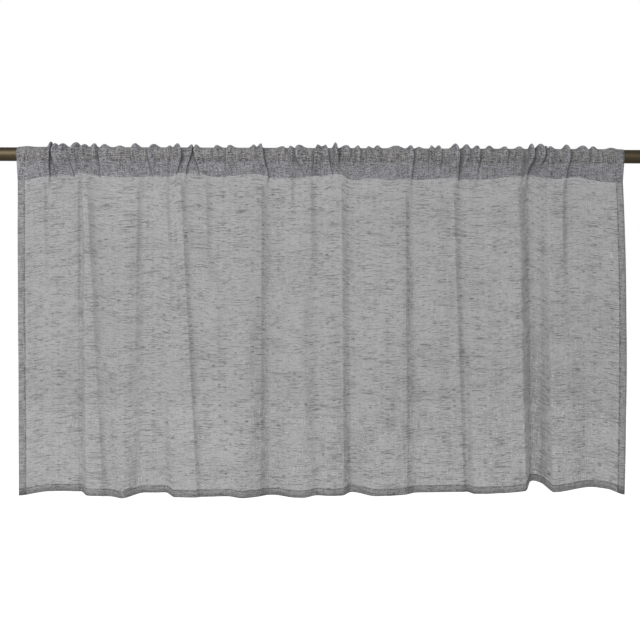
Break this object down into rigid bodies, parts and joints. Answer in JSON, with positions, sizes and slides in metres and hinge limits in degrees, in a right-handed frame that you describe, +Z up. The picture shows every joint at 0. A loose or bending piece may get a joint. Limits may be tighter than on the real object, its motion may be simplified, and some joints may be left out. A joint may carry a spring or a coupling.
{
  "type": "cafe curtain on a rod",
  "caption": "Sheer grey cafe curtain with a gathered rod pocket and turned hems, hanging on a plain round bronze rod.",
  "frame": {"origin": "on the rod's axis, halfway along the rod, where brackets would hold it level", "axes": "+X along the rod to the right as seen from the room, +Y through the curtain to the window, +Z up"},
  "size_m": [1.2, 0.0693, 0.6145],
  "materials": {
    "cloth": "semi-sheer plain weave of heathered grey linen-look yarn with darker slubs",
    "rod_metal": "satin antique bronze"
  },
  "bodies": {
    "root": {"curtain": "cloth", "rod": "rod_metal"}
  },
  "joints": []
}
